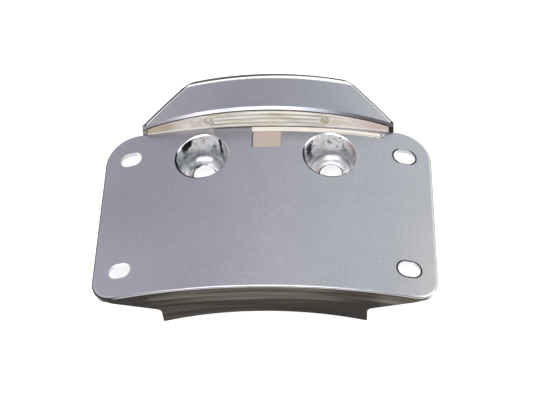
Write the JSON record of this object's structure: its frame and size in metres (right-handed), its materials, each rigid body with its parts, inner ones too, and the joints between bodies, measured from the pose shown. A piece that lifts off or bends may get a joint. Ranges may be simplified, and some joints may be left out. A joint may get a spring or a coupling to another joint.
{
  "type": "motorcycle license plate backing plate",
  "caption": "Curved die-cast backing plate for a motorcycle license plate, with a saddle for the rear fender, deep bolt cups, slots for the plate and a lamp hood above it",
  "frame": {"origin": "Centre of the bounding box in X and Y, on the plane that the feet of the saddle stand on", "axes": "+X runs across the plate, its longest way; +Y runs up the plate towards the lamp hood; +Z points straight out of the plate's face, away from the fender"},
  "size_m": [0.1726, 0.1332, 0.0447],
  "materials": {
    "cast_chrome": "satin chrome on a zinc casting",
    "hood_chrome": "satin chrome on a zinc casting",
    "lens": "clear moulded plastic, fluted in the middle",
    "foam": "closed cell foam",
    "board": "white solder mask",
    "led": "white package with a pale yellow window",
    "resistor": "dark body with tinned ends",
    "small_screw": "zinc plated steel",
    "hood_screw": "stainless steel",
    "washer": "zinc plated steel",
    "strip": "cream plastic strip",
    "tab": "beige plastic tab",
    "grommet": "black rubber"
  },
  "bodies": {
    "root": {"backing_plate": "cast_chrome", "light_hood": "hood_chrome", "hood_lens": "lens", "lens_gasket": "foam", "led_board": "board", "led_1": "led", "led_2": "led", "led_3": "led", "led_4": "led", "led_5": "led", "led_6": "led", "resistor_left": "resistor", "resistor_right": "resistor", "lens_screw_left": "small_screw", "lens_screw_right": "small_screw", "board_screw_left": "small_screw", "board_screw_right": "small_screw", "hood_screw_left": "hood_screw", "hood_screw_right": "hood_screw", "hood_washer_left": "washer", "hood_washer_right": "washer", "lead_strip": "strip", "lead_tab": "tab", "lead_grommet": "grommet"}
  },
  "joints": []
}
